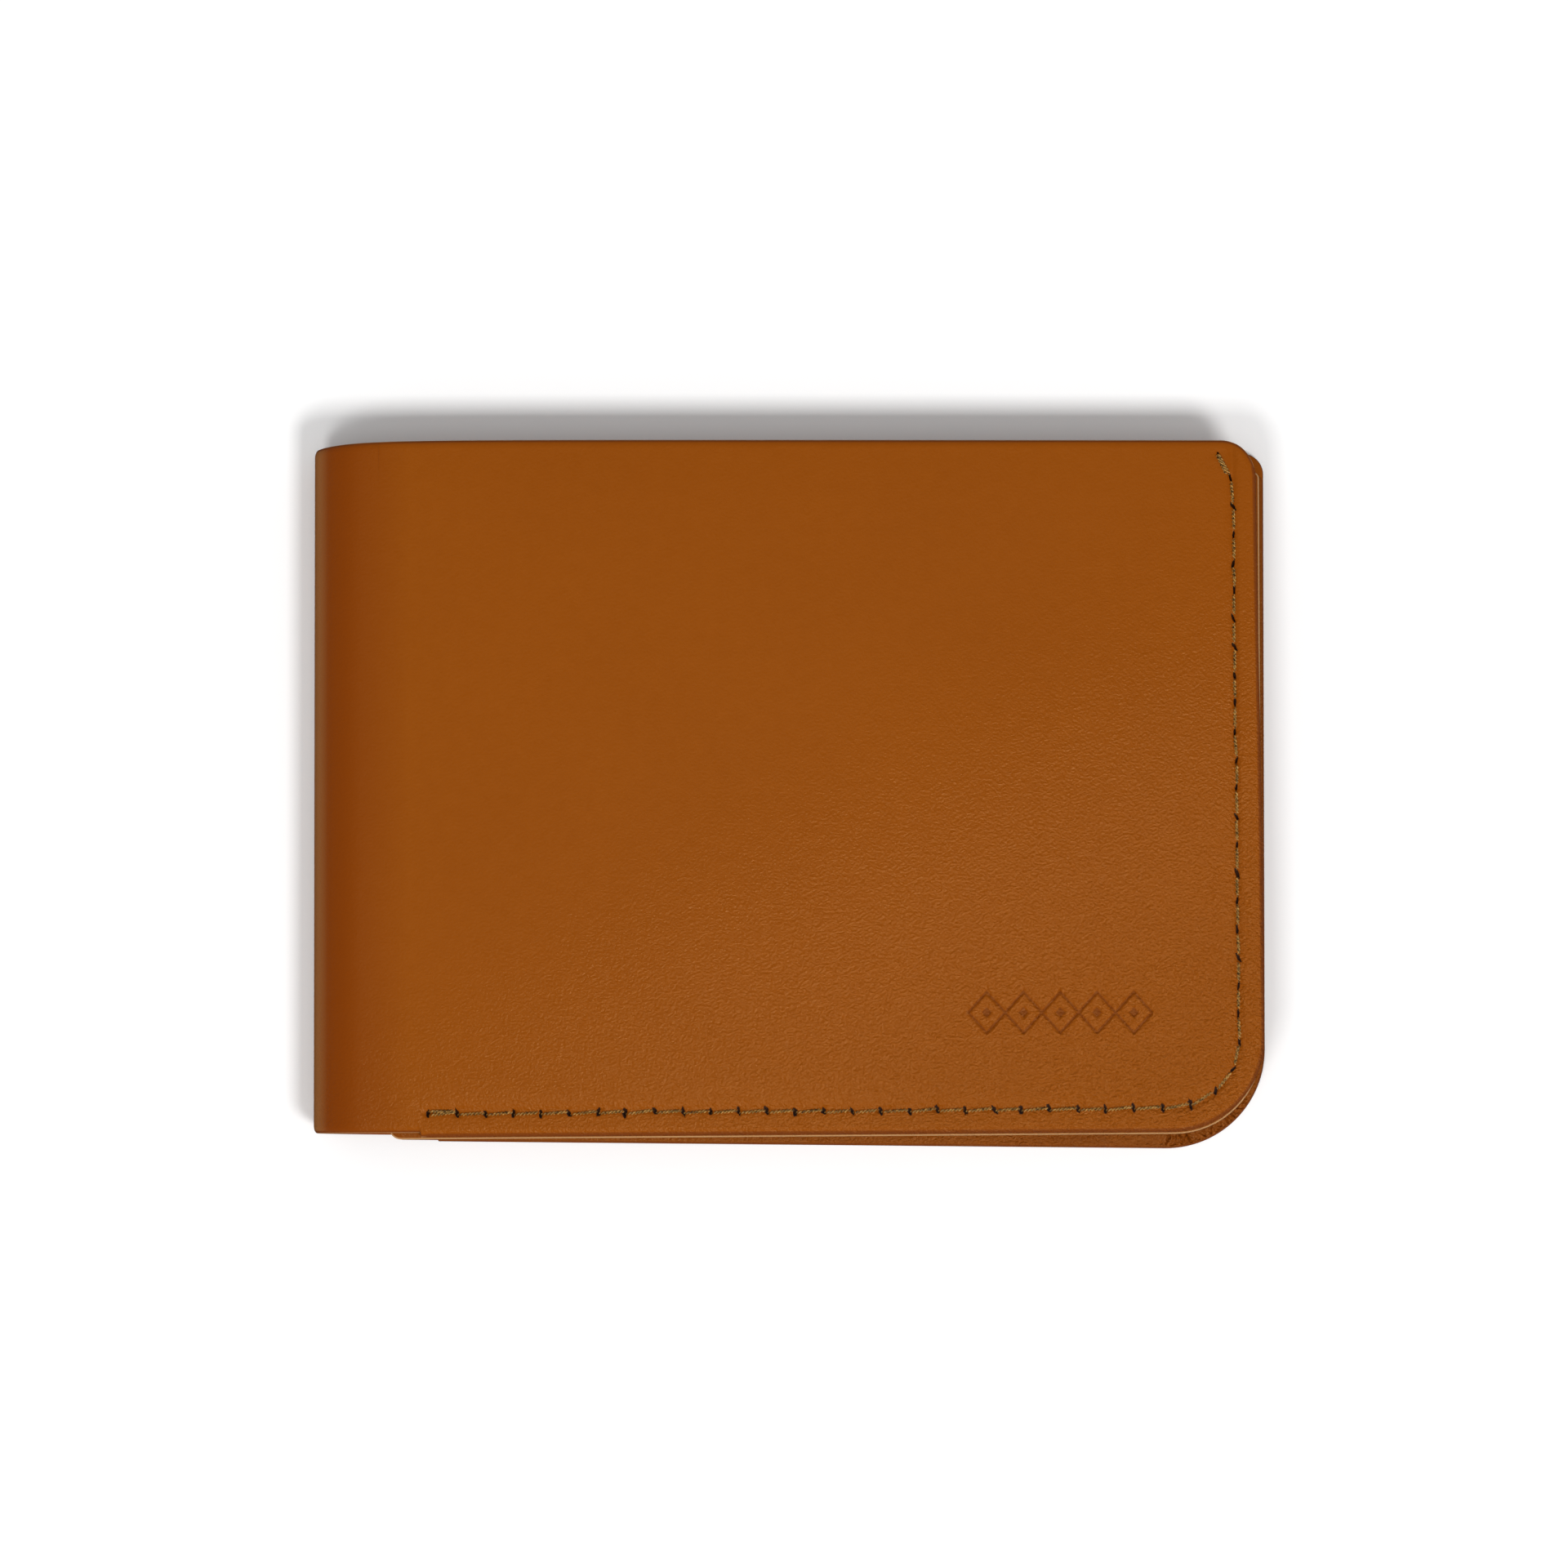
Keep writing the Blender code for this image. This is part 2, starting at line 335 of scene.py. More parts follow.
def tube_faces(base, rings, around):
    """The sides and caps of a tube whose rings of points follow each other from index base."""
    faces = []
    for k in range(rings - 1):
        low = base + k * around
        for i in range(around):
            after = (i + 1) % around
            faces.append((low + i, low + after, low + around + after, low + around + i))
    faces.append(tuple(base + i for i in range(around))[::-1])
    faces.append(tuple(base + (rings - 1) * around + i for i in range(around)))
    return faces


def roll(radius, steps):
    """Insets round a rolled edge, each with how far it is from the flat face to the middle, 1 to 0."""
    angles = [math.pi / 2 * k / steps for k in range(steps + 1)]
    return [(radius * (1 - math.cos(a)), 1 - math.sin(a)) for a in angles]


def edge_distance(outline, points):
    """Distance from the bottom, end and top sides, ignoring the rounded corners."""
    found = []
    for (x, y), (ux, uy) in outline[:3]:
        length = math.hypot(ux, uy)
        found.append(((points[:, 1] - y) * ux - (points[:, 0] - x) * uy) / length)
    return found


def sheet_mesh(half, outline, near, far, xs, ys, arc, detail, edges, feature, reshape=None):
    """A closed sheet of leather between two depths, with rolled edges.

    detail is "near" or "far": the face that shows, which gets the grid and the feature depths.
    edges is the roll's radius and steps, then further insets. near and far are functions of the
    plan points, and feature gives how far the showing face sinks in.
    """
    radius, steps, further = edges
    shown = roll(radius, steps) + [(inset, 0.0) for inset in further]
    hidden = roll(min(radius, 0.3), 3) + [(inset, 0.0) for inset in further[-1:]]
    built = []
    for rings, filled in ((shown, True), (hidden, False)):
        insets = [inset for inset, _ in rings]
        points, ring_of, faces, side, count = ring_surface(outline, insets, xs, ys, arc, filled)
        roundness = np.array([share for _, share in rings] + [0.0])[ring_of]
        plan = reshape(half, points) if reshape else points
        middle = (near(plan) + far(plan)) / 2
        toward = near(plan) if (detail == "near") == filled else far(plan)
        depth = toward + (middle - toward) * roundness
        if filled:
            distance = edge_distance(outline, points)
            sink = feature(plan, distance) * (1 - roundness)
            depth = depth + (sink if detail == "near" else -sink)
        built.append((plan, depth, roundness, faces, side, count))
    plan = np.concatenate([built[0][0], built[1][0]])
    depth = np.concatenate([built[0][1], built[1][1]])
    edge = np.concatenate([built[0][2], built[1][2]])
    offset = len(built[0][0])
    count = built[0][5]

    def joined(index):
        return index if index < count else index + offset

    faces = list(built[0][3])
    faces += [tuple(joined(i) for i in face)[::-1] for face in built[1][3]]
    if built[0][4] is not None:
        back_side = [joined(i) for i in built[1][4]][1:-1]
        faces.append(tuple(built[0][4][::-1]) + tuple(back_side))
    return plan, depth, edge, faces


def level(depth):
    """A face that lies at one depth, for sheet_mesh."""
    return lambda plan: np.full(len(plan), depth)


def on_half(half, depth):
    return depth if half is BACK else THICKNESS - depth


def flat_pattern(half, x):
    """The place along the unfolded cover, from the middle of the spine: the back half is positive."""
    return fold_distance(x) if half is BACK else -fold_distance(x)


def make_object(name, co, faces, flat, edge, materials, sharp=40.0):
    """A smooth mesh object from points in millimetres, with the unfolded plan as its UV map."""
    used = np.unique(np.concatenate([np.asarray(face) for face in faces]))
    renumbered = np.zeros(len(co), int)
    renumbered[used] = np.arange(len(used))
    co, flat, edge = [np.asarray(values, float)[used] for values in (co, flat, edge)]
    mesh = bpy.data.meshes.new(name)
    mesh.from_pydata((co * MM).tolist(), [], [renumbered[list(face)].tolist() for face in faces])
    bm = bmesh.new()
    bm.from_mesh(mesh)
    bmesh.ops.recalc_face_normals(bm, faces=bm.faces)
    bm.to_mesh(mesh)
    bm.free()
    loops = np.zeros(len(mesh.loops), np.int32)
    mesh.loops.foreach_get("vertex_index", loops)
    uv = mesh.uv_layers.new(name="flat")
    uv.data.foreach_set("uv", (flat[loops] * MM * 10).ravel().astype(np.float32))
    layer = mesh.attributes.new("edge", "FLOAT", "POINT")
    layer.data.foreach_set("value", edge.astype(np.float32))
    for material in materials:
        mesh.materials.append(material)
    mesh.shade_smooth()
    mesh.set_sharp_from_angle(angle=math.radians(sharp))
    obj = bpy.data.objects.new(name, mesh)
    bpy.context.scene.collection.objects.link(obj)
    return obj


def bent(half, x, y, depth):
    """Points in the closed wallet. Short of the tangent line the leather turns round the spine."""
    angles = np.linspace(0.0, math.pi / 2, 200)
    run = np.stack([SPINE_DEPTH * np.sin(angles), SPINE_RISE * np.cos(angles)], 1)
    lengths = run_lengths(run)
    angle = np.interp(TANGENT_X - x, lengths, angles)
    toward_x = SPINE_RISE * np.sin(angle)
    toward_z = SPINE_DEPTH * np.cos(angle)
    length = np.hypot(toward_x, toward_z)
    inward = depth - COVER / 2
    flat_x = np.maximum(x, TANGENT_X)
    co_x = flat_x - SPINE_DEPTH * np.sin(angle) + inward * toward_x / length
    co_depth = MIDDLE - SPINE_RISE * np.cos(angle) + inward * toward_z / length
    return np.stack([co_x, y, on_half(half, co_depth)], 1)


def stand_in(obj, half, node):
    """Puts a piece on its half's body in place of one of that half's CAD nodes."""
    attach(obj, f"{half.name}_half")
    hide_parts(f"{half.name}_{node}")


def sheet_object(name, half, parts, materials):
    plan, depth, edge, faces = parts
    co = bent(half, plan[:, 0], plan[:, 1], depth)
    flat = np.stack([flat_pattern(half, plan[:, 0]), plan[:, 1]], 1)
    return make_object(name, co, faces, flat, edge, materials)


# ---------------------------------------------------------------- materials

# Full heights of the bump maps, in metres.
GRAIN_HEIGHT = 0.00030
FIBRE_HEIGHT = 0.00004
WEAVE_HEIGHT = 0.0001

# Base colours. A painted highlight goes on the outside of the fold, and painted shade on either side
# of it.
TAN_LIGHT = (0.286, 0.0650, 0.0008)
TAN_DEEP = (0.257, 0.0565, 0.0005)
# Painted shade: beside the fold the leather turns away from the lamps and loses its sheen.
FOLD_SHADE = (0.215, 0.0400, 0.0004)
# Painted highlight: the glancing reflection on the outside of the fold.
LIMB_HIGHLIGHT = (0.32, 0.112, 0.025)
INSIDE_LIGHT = (0.270, 0.0640, 0.0020)
INSIDE_DEEP = (0.190, 0.0390, 0.0012)
BURNISHED = (0.185, 0.036, 0.0010)
RAW_EDGE = (0.45, 0.235, 0.095)


def add_node(tree, kind, inputs=(), **settings):
    """A node with its settings, and its inputs given as (socket name or index, value or socket)."""
    node = tree.nodes.new(kind)
    for key, value in settings.items():
        setattr(node, key, value)
    for key, value in inputs:
        if isinstance(value, bpy.types.NodeSocket):
            tree.links.new(value, node.inputs[key])
        else:
            node.inputs[key].default_value = value
    return node


def ramp(tree, factor, *stops):
    """A colour ramp through (position, colour) stops. A single number stands for a grey."""
    node = add_node(tree, "ShaderNodeValToRGB", [("Fac", factor)])
    while len(node.color_ramp.elements) < len(stops):
        node.color_ramp.elements.new(0.5)
    for element, (position, color) in zip(node.color_ramp.elements, stops):
        element.position = position
        element.color = (color, color, color, 1.0) if isinstance(color, float) else (*color, 1.0)
    return node.outputs["Color"]


def mixed(tree, factor, one, two):
    """Colour one where factor is 0, and two where it is 1."""
    one, two = [(*color, 1.0) if isinstance(color, tuple) else color for color in (one, two)]
    inputs = [(0, factor), (6, one), (7, two)]
    return add_node(tree, "ShaderNodeMix", inputs, data_type="RGBA").outputs[2]


def calc(tree, operation, one, two=0.0):
    return add_node(tree, "ShaderNodeMath", [(0, one), (1, two)], operation=operation).outputs[0]


def weighted_sum(tree, *terms):
    """The sum of values that are each given with a weight."""
    total = calc(tree, "MULTIPLY", *terms[0])
    for term in terms[1:]:
        total = calc(tree, "ADD", total, calc(tree, "MULTIPLY", *term))
    return total


def bump_normal(tree, shader, height, strength, distance):
    """Bends the shader's normal by a height map whose full height is distance, in metres."""
    inputs = [("Height", height), ("Strength", strength), ("Distance", distance)]
    bump = add_node(tree, "ShaderNodeBump", inputs)
    tree.links.new(bump.outputs["Normal"], shader.inputs["Normal"])


def noise_value(tree, where, scale, detail=2.0, roughness=0.5, distortion=0.0):
    inputs = [("Vector", where), ("Scale", scale), ("Detail", detail), ("Roughness", roughness)]
    inputs.append(("Distortion", distortion))
    return add_node(tree, "ShaderNodeTexNoise", inputs).outputs["Fac"]


def new_material(name):
    material = bpy.data.materials.new(name)
    material.use_nodes = True
    tree = material.node_tree
    return material, tree, tree.nodes["Principled BSDF"]


def flat_place(tree):
    """The unfolded plan, ten units to the metre, so that nothing slides when the wallet opens."""
    return add_node(tree, "ShaderNodeUVMap", uv_map="flat").outputs["UV"]


def grain_height(tree, place):
    """Slanting wrinkles, fine grain, pores and wide creases, as a height map."""
    slanted = add_node(tree, "ShaderNodeMapping", [("Vector", place)])
    slanted.inputs["Rotation"].default_value = (0.0, 0.0, math.radians(-50))
    slanted.inputs["Scale"].default_value = (1.0, 1.25, 1.0)
    wrinkles = noise_value(tree, slanted.outputs["Vector"], 240.0, 1.5, 0.5, 0.25)
    fine = noise_value(tree, place, 560.0, 2.0, 0.6)
    pores = add_node(
        tree,
        "ShaderNodeTexVoronoi",
        [("Vector", place), ("Scale", 330.0), ("Randomness", 1.0), ("Smoothness", 0.8)],
        feature="SMOOTH_F1",
    ).outputs["Distance"]
    creases = noise_value(tree, place, 46.0, 5.0, 0.62, 0.8)
    return weighted_sum(tree, (wrinkles, 0.95), (fine, 0.45), (pores, 0.30), (creases, 0.6))


def leather_material(name, light, deep, crest_highlight_and_shade, rim, roughness):
    """Smooth dyed leather: fine pores and creases, cloudy dye, and painted shade beside the fold.

    The crest colour is painted on the fold's crest: a painted highlight on the cover, more painted
    shade on inner leather.
    The edge attribute is 0 on a face, about 0.25 on a burnished rim, and 0.5 or more where rim shows.
    """
    material, tree, shader = new_material(name)
    place = flat_place(tree)
    clouds = noise_value(tree, place, 3.2, 3.0, 0.5)
    mottle = noise_value(tree, place, 60.0, 4.0, 0.6)
    specks = noise_value(tree, place, 420.0, 2.0, 0.5)
    tone = weighted_sum(tree, (clouds, 0.40), (mottle, 0.36), (specks, 0.24))
    dye_and_painted_fold = ramp(tree, tone, (0.32, deep), (0.72, light))
    along_and_up = add_node(tree, "ShaderNodeSeparateXYZ", [("Vector", place)]).outputs
    from_fold = calc(tree, "ABSOLUTE", along_and_up["X"])
    # Painted shade beside the fold, where the leather turns away from the lamps.
    dye_and_painted_fold = mixed(tree, ramp(tree, from_fold, (0.06, 1.0), (0.14, 0.0)), dye_and_painted_fold, FOLD_SHADE)
    # Painted colour on the fold's crest: a painted highlight on the cover, painted shade on inner
    # leather.
    dye_and_painted_fold = mixed(tree, ramp(tree, from_fold, (0.022, 1.0), (0.040, 0.0)), dye_and_painted_fold, crest_highlight_and_shade)
    edge = add_node(tree, "ShaderNodeAttribute", attribute_name="edge").outputs["Fac"]
    edge_share = ramp(tree, edge, (0.13, 0.0), (0.25, 1.0))
    color = mixed(tree, edge_share, dye_and_painted_fold, BURNISHED)
    color = mixed(tree, ramp(tree, edge, (0.36, 0.0), (0.50, 1.0)), color, rim)
    tree.links.new(color, shader.inputs["Base Color"])

    # The grain is coarsest far from the fold and low down.
    coarseness = weighted_sum(tree, (from_fold, 0.45), (along_and_up["Y"], -0.7))
    strength = ramp(tree, coarseness, (0.20, 0.16), (0.72, 1.0))
    bump_normal(tree, shader, grain_height(tree, place), strength, GRAIN_HEIGHT)

    gloss = weighted_sum(tree, (mottle, 0.10), (specks, 0.08), (edge_share, 0.10))
    gloss = calc(tree, "ADD", gloss, roughness - 0.09)
    tree.links.new(gloss, shader.inputs["Roughness"])
    shader.inputs["Specular IOR Level"].default_value = 0.45
    shader.inputs["Specular Tint"].default_value = (1.0, 0.86, 0.42, 1.0)
    return material


def thread_material():
    material, tree, shader = new_material("olive_thread")
    place = flat_place(tree)
    fibre_and_painted_light = noise_value(tree, place, 330.0, 2.0, 0.6)
    # Near-black to bright gold in random patches: painted highlights and painted shade on the twisted
    # strands.
    color = ramp(tree, fibre_and_painted_light, (0.36, (0.035, 0.014, 0.002)), (0.66, (0.54, 0.285, 0.070)))
    tree.links.new(color, shader.inputs["Base Color"])
    bump_normal(tree, shader, fibre_and_painted_light, 0.5, FIBRE_HEIGHT)
    shader.inputs["Roughness"].default_value = 0.34
    shader.inputs["Specular IOR Level"].default_value = 0.7
    shader.inputs["Specular Tint"].default_value = (1.0, 0.9, 0.65, 1.0)
    return material


def hole_shade_material():
    material, tree, shader = new_material("needle_hole_shade")
    fibre_and_painted_light = noise_value(tree, flat_place(tree), 600.0)
    # Near-black walls: painted shade inside the needle slits.
    color = ramp(tree, fibre_and_painted_light, (0.3, (0.012, 0.004, 0.001)), (0.7, (0.05, 0.014, 0.003)))
    tree.links.new(color, shader.inputs["Base Color"])
    shader.inputs["Roughness"].default_value = 0.9
    return material


def lining_material():
    """Plain woven lining."""
    material, tree, shader = new_material("lining_fabric")
    place = flat_place(tree)
    threads = []
    for direction in ("X", "Y"):
        inputs = [("Vector", place), ("Scale", 95.0), ("Distortion", 0.4), ("Detail", 1.0)]
        wave = add_node(tree, "ShaderNodeTexWave", inputs, bands_direction=direction)
        threads.append(wave.outputs["Fac"])
    weave = calc(tree, "MULTIPLY", threads[0], threads[1])
    clouds = noise_value(tree, place, 30.0, 3.0)
    shade = weighted_sum(tree, (weave, 0.7), (clouds, 0.3))
    color = ramp(tree, shade, (0.1, (0.045, 0.020, 0.009)), (0.9, (0.12, 0.06, 0.028)))
    tree.links.new(color, shader.inputs["Base Color"])
    bump_normal(tree, shader, weave, 0.6, WEAVE_HEIGHT)
    shader.inputs["Roughness"].default_value = 0.85
    shader.inputs["Sheen Weight"].default_value = 0.3
    return material


leather = leather_material("tan_leather", TAN_LIGHT, TAN_DEEP, LIMB_HIGHLIGHT, RAW_EDGE, 0.35)
# For inner leather the crest colour is the deep tone, which is painted shade at the fold.
inside = (INSIDE_LIGHT, INSIDE_DEEP, INSIDE_DEEP)
panel_leather = leather_material("panel_leather", *inside, RAW_EDGE, 0.42)
pocket_leather = leather_material("pocket_leather", *inside, BURNISHED, 0.42)
thread = thread_material()
hole = hole_shade_material()
lining = lining_material()


# ---------------------------------------------------------------- seams


def seam_line(half):
    """The edge seam from the notch to the open end, as closely spaced plan points."""
    bottom, end, top = [pushed_in(side, SEAM_INSET) for side in cover_sides(half)]
    start = crossing(bottom, ((half.notch_end + 0.1, 0.0), (0.0, 1.0)))
    corner = arc_between(bottom, end, half.corner - SEAM_INSET, 24)
    finish = crossing(end, top)
    bend = (finish[0], finish[1] - SEAM_BEND)
    last = (finish[0] - SEAM_TAIL, finish[1] + SEAM_TAIL)
    points = [start, *corner, bend, last]
    fine = []
    for one, two in zip(points, points[1:]):
        steps = max(1, round(math.dist(one, two) / 0.1))
        fine += [np.array(one) + (np.array(two) - one) * k / steps for k in range(steps)]
    fine.append(np.array(last))
    fine = np.array(fine)
    kernel = np.ones(21) / 21
    padded = np.concatenate([np.repeat(fine[:1], 10, 0), fine, np.repeat(fine[-1:], 10, 0)])
    return np.stack([np.convolve(padded[:, k], kernel, "valid") for k in (0, 1)], 1)


def along_line(line, distances):
    """Points and directions at these distances along a line of plan points."""
    heading = points_along(line, distances + 0.3) - points_along(line, distances - 0.3)
    return points_along(line, distances), heading / np.linalg.norm(heading, axis=1)[:, None]


def stitch_places(line):
    """Where the needle went in: even steps, shifted a little by hand feed."""
    length = run_lengths(line)[-1]
    count = round(length / STITCH_PITCH)
    margin, along, aside = 0.35, 0.12, 0.10
    dice = np.random.default_rng(7)
    places = np.linspace(margin, length - margin, count + 1)
    places[1:-1] += dice.uniform(-along, along, count - 1)
    points, heading = along_line(line, places)
    across = np.stack([-heading[:, 1], heading[:, 0]], 1)
    points += across * dice.uniform(-aside, aside, count + 1)[:, None]
    return points, heading


def slit_cutter(half, centers, angles, sizes, deep):
    """A cutter for slanted needle slits: ragged ovals that narrow as they go in."""
    co = []
    faces = []
    around = np.linspace(0.0, 2 * math.pi, 14, endpoint=False)
    dice = np.random.default_rng(17)
    for (x, y), angle, (length, width) in zip(centers, angles, sizes):
        base = len(co)
        ragged = dice.uniform(0.68, 1.18, len(around))
        for depth, share in ((-0.4, 1.15), (0.1, 1.0), (deep, 0.45)):
            for a, torn in zip(around, ragged):
                u = length / 2 * share * torn * math.cos(a)
                v = width / 2 * share * torn * math.sin(a)
                co.append((
                    x + u * math.cos(angle) - v * math.sin(angle),
                    y + u * math.sin(angle) + v * math.cos(angle),
                    on_half(half, depth),
                ))
        faces += tube_faces(base, 3, len(around))
    flat = np.array(co)[:, :2]
    return make_object("slits", co, faces, flat, np.zeros(len(co)), [hole])


def cut_with(obj, cutter):
    """Cuts the cutter's shapes out of obj for good, keeping the cutter's material inside them."""
    modifier = obj.modifiers.new("slits", "BOOLEAN")
    modifier.operation = "DIFFERENCE"
    modifier.object = cutter
    modifier.material_mode = "TRANSFER"
    graph = bpy.context.evaluated_depsgraph_get()
    cut = bpy.data.meshes.new_from_object(obj.evaluated_get(graph))
    obj.modifiers.remove(modifier)
    obj.data = cut
    bpy.data.objects.remove(cutter)


def twisted_thread(co, faces, path):
    """Adds two strands, twisted round each other along a path of 3-D points, to co and faces."""
    lengths = run_lengths(path)
    steps = max(8, int(lengths[-1] / 0.12))
    where = np.linspace(0.0, lengths[-1], steps + 1)
    center = points_along(path, where)
    tangent = np.gradient(center, axis=0)
    tangent /= np.linalg.norm(tangent, axis=1)[:, None]
    side = np.cross(tangent, (0.0, 0.0, 1.0))
    side /= np.linalg.norm(side, axis=1)[:, None]
    up = np.cross(side, tangent)
    around = np.linspace(0.0, 2 * math.pi, 7, endpoint=False)
    for strand in (0.0, math.pi):
        turn = (2 * math.pi * where / TWIST + strand)[:, None]
        line = center + STRAND_OFFSET * (np.cos(turn) * side + np.sin(turn) * up)
        thin = STRAND_RADIUS * np.minimum(1.0, 0.35 + 2.2 * np.minimum(where, lengths[-1] - where))
        base = len(co)
        for k in range(steps + 1):
            for a in around:
                co.append(line[k] + thin[k] * (math.cos(a) * side[k] + math.sin(a) * up[k]))
        faces += tube_faces(base, steps + 1, len(around))


def stitch_path(start, stop, depth_start, depth_stop, rise, sink):
    """One stitch: straight up out of a hole, over the leather and straight down into the next."""
    turn = np.linspace(0.0, math.pi, 25)
    shares_along = 0.5 - 0.5 * np.sign(np.cos(turn)) * np.abs(np.cos(turn)) ** 0.5
    arch = np.abs(np.sin(turn)) ** 0.5
    plan = start + (stop - start) * shares_along[:, None]
    depth = depth_start + (depth_stop - depth_start) * shares_along
    return plan, depth + sink * (1 - arch) - rise * arch


def thread_object(name, half, stitches):
    """A seam's thread from stitches given as plan points and depths."""
    co = []
    faces = []
    for plan, depth in stitches:
        path = np.stack([plan[:, 0], plan[:, 1], on_half(half, depth)], 1)
        twisted_thread(co, faces, path)
    co = np.array(co)
    flat = co[:, :2] + co[:, 2:] * (0.7, 0.3)
    return make_object(name, co, faces, flat, np.zeros(len(co)), [thread], sharp=80.0)


# ---------------------------------------------------------------- covers and spine

BURNISH = 0.26  # the leather's edge attribute on a burnished rim or stroke
RAW_SHARE = 0.62  # narrows the light line of a raw rim
MARK_X = (21.8, 44.3)
MARK_Y = (-30.0, -23.6)
MARK_DEPTH = 0.20
VALLEY = 0.22  # how deep the seam draws the leather in
DIMPLE = 0.10  # and each slit further
DIMPLE_WIDTH = 0.6
SLIT_DEPTH = 0.85
LAST_SLIT = (0.5, 0.3)


def mark_stamp(x, y):
    """A blind-stamped ornament, 1 where it is pressed in: linked lozenges with a small one in each."""
    count = 5
    half_length = (MARK_X[1] - MARK_X[0]) / count / 2
    half_height = 2.5
    across = np.abs((x - MARK_X[0]) / (2 * half_length) % 1.0 - 0.5) * 2
    up = np.abs(y - (MARK_Y[0] + MARK_Y[1]) / 2) / half_height
    to_mm = 1 / math.hypot(1 / half_length, 1 / half_height)
    stroke = 1 - smooth(0.10, 0.26, np.abs(across + up - 1.0) * to_mm)
    dot = 1 - smooth(0.40, 0.56, (across + up) * to_mm)
    inside = (x > MARK_X[0]) & (x < MARK_X[1]) & (up < 1.2)
    return np.where(inside, np.maximum(stroke, dot), 0.0)


def waves(x, y):
    """The slow unevenness of leather over soft layers, fading out towards the spine."""
    rise = 0.5 * np.sin(x / 17.0 + 0.8) * np.cos(y / 13.0 - 0.4)
    rise += 0.3 * np.sin(x / 9.0 - y / 11.0 + 1.1) + 0.2 * np.cos(x / 6.1 + y / 7.3)
    return 0.07 * rise * smooth(-48.0, -30.0, x)


def cover_thickness(half, plan):
    return COVER + (HEM - COVER) * smooth(half.notch_end - 5.0, half.notch_end, plan[:, 0])


def slit_angles(heading):
    """Slits stand upright, across the bottom row and along the end's, and slant round the corner."""
    turned = np.arctan2(heading[:, 1], heading[:, 0])
    upright, slant = math.radians(106), math.radians(52)
    lean = np.random.default_rng(11).uniform(-0.38, 0.38, len(turned))
    return upright - slant * bell(math.radians(50), math.radians(28), turned) + lean


def slit_sizes(crosswise):
    """Lengths and widths: slits along the seam are longer, and slits across it wider."""
    sizes = np.random.default_rng(3).uniform((1.05, 0.32), (1.50, 0.46), (len(crosswise), 2))
    sizes[:, 0] += 0.35 * (1 - crosswise)
    sizes[:, 1] += 0.32 * crosswise
    sizes[-1] = LAST_SLIT
    return sizes


def cover_places(half):
    """Where the cover's grid lines cross its long and short sides, finest at the notch and mark."""
    bottom, end, _ = cover_sides(half)
    flat_end = arc_between(bottom, end, half.corner, 2)[0][0]
    notch = (half.notch_end - 0.6, 0.08, half.notch_end + 0.2)
    if half is FRONT:
        mark_x = (MARK_X[0] - 1.8, 0.14, MARK_X[1] + 0.4)
        xs = spread(FLAT_START, 0.8, *notch, 0.7, *mark_x, 0.7, flat_end)
        ys = spread(-31.0, 0.7, MARK_Y[0] - 0.2, 0.14, MARK_Y[1] + 0.2, 0.7, 38.0)
    else:
        xs = spread(FLAT_START, 0.8, *notch, 0.7, flat_end)
        ys = spread(-31.0, 0.7, 38.0)
    return shares(xs), shares(ys)


def cover_sink(half, centers, plan, distance):
    """How far a cover's face sinks in: along the seam, round its slits, at the mark and in waves."""
    low, far_end, high = distance
    x, y = plan[:, 0], plan[:, 1]
    corner_x, corner_y = corner_center(half)
    reach = half.corner - np.hypot(x - corner_x, y - corner_y)
    nearest = np.where((x > corner_x) & (y < corner_y), reach, np.minimum(low, far_end))
    along = smooth(half.notch_end - 1.5, half.notch_end + 1.0, x)
    valley = VALLEY * bell(SEAM_INSET, 0.42, nearest) * along
    margin = 0.12 * bell(SEAM_INSET, 1.6, nearest) * along
    ease = 0.10 * (1 - smooth(0.0, 7.0, high))
    mark = MARK_DEPTH * mark_stamp(x, y) if half is FRONT else 0.0
    dimples = 0.0
    for center_x, center_y in centers:
        squared = (x - center_x) ** 2 + (y - center_y) ** 2
        dimples = dimples + DIMPLE * np.exp(-squared / DIMPLE_WIDTH ** 2)
    return valley + margin + ease + mark + dimples + waves(x, y) * smooth(2.0, 8.0, nearest)


def cover_edge(half, plan, depth, edge):
    """The edge attribute: raw in the front's notch and mouth, burnished elsewhere and in the mark."""
    x, y = plan[:, 0], plan[:, 1]
    if half is BACK:
        return np.minimum(edge, BURNISH)
    raw = (x < half.notch_end + 0.4) | (y > 40.0)
    edge = np.where(raw, RAW_SHARE * edge, np.minimum(edge, BURNISH))
    return np.maximum(edge, BURNISH * mark_stamp(x, y) * (depth < COVER / 2))


def make_cover(half):
    """A half's cover with its needle slits. Returns their centers and reach along the seam."""
    centers, heading = stitch_places(seam_line(half))
    xs, ys = cover_places(half)
    plan, depth, edge, faces = sheet_mesh(
        half,
        Outline(*cover_sides(half), FLAT_START, half.corner, half.top_corner, None),
        near=level(0.0),
        far=lambda plan: cover_thickness(half, plan),
        xs=xs,
        ys=ys,
        arc=14,
        detail="near",
        edges=(1.0, 9, (1.2, 1.35, 1.5, 1.8, 2.1, 2.35, 2.55, 2.75, 2.9, 3.05, 3.25, 3.5, 3.9, 4.4)),
        feature=lambda plan, distance: cover_sink(half, centers, plan, distance),
        reshape=shape_edges,
    )
    parts = plan, depth, cover_edge(half, plan, depth, edge), faces
    cover = sheet_object(f"{half.name}_cover_leather", half, parts, [leather, hole])
    angles = slit_angles(heading)
    crosswise = np.abs(np.sin(angles - np.arctan2(heading[:, 1], heading[:, 0])))
    sizes = slit_sizes(crosswise)
    cut_with(cover, slit_cutter(half, centers, angles, sizes, SLIT_DEPTH))
    along_seam = np.hypot(sizes[:, 0] * np.sqrt(1 - crosswise ** 2), sizes[:, 1] * crosswise) / 2
    stand_in(cover, half, "cover")
    return centers, along_seam


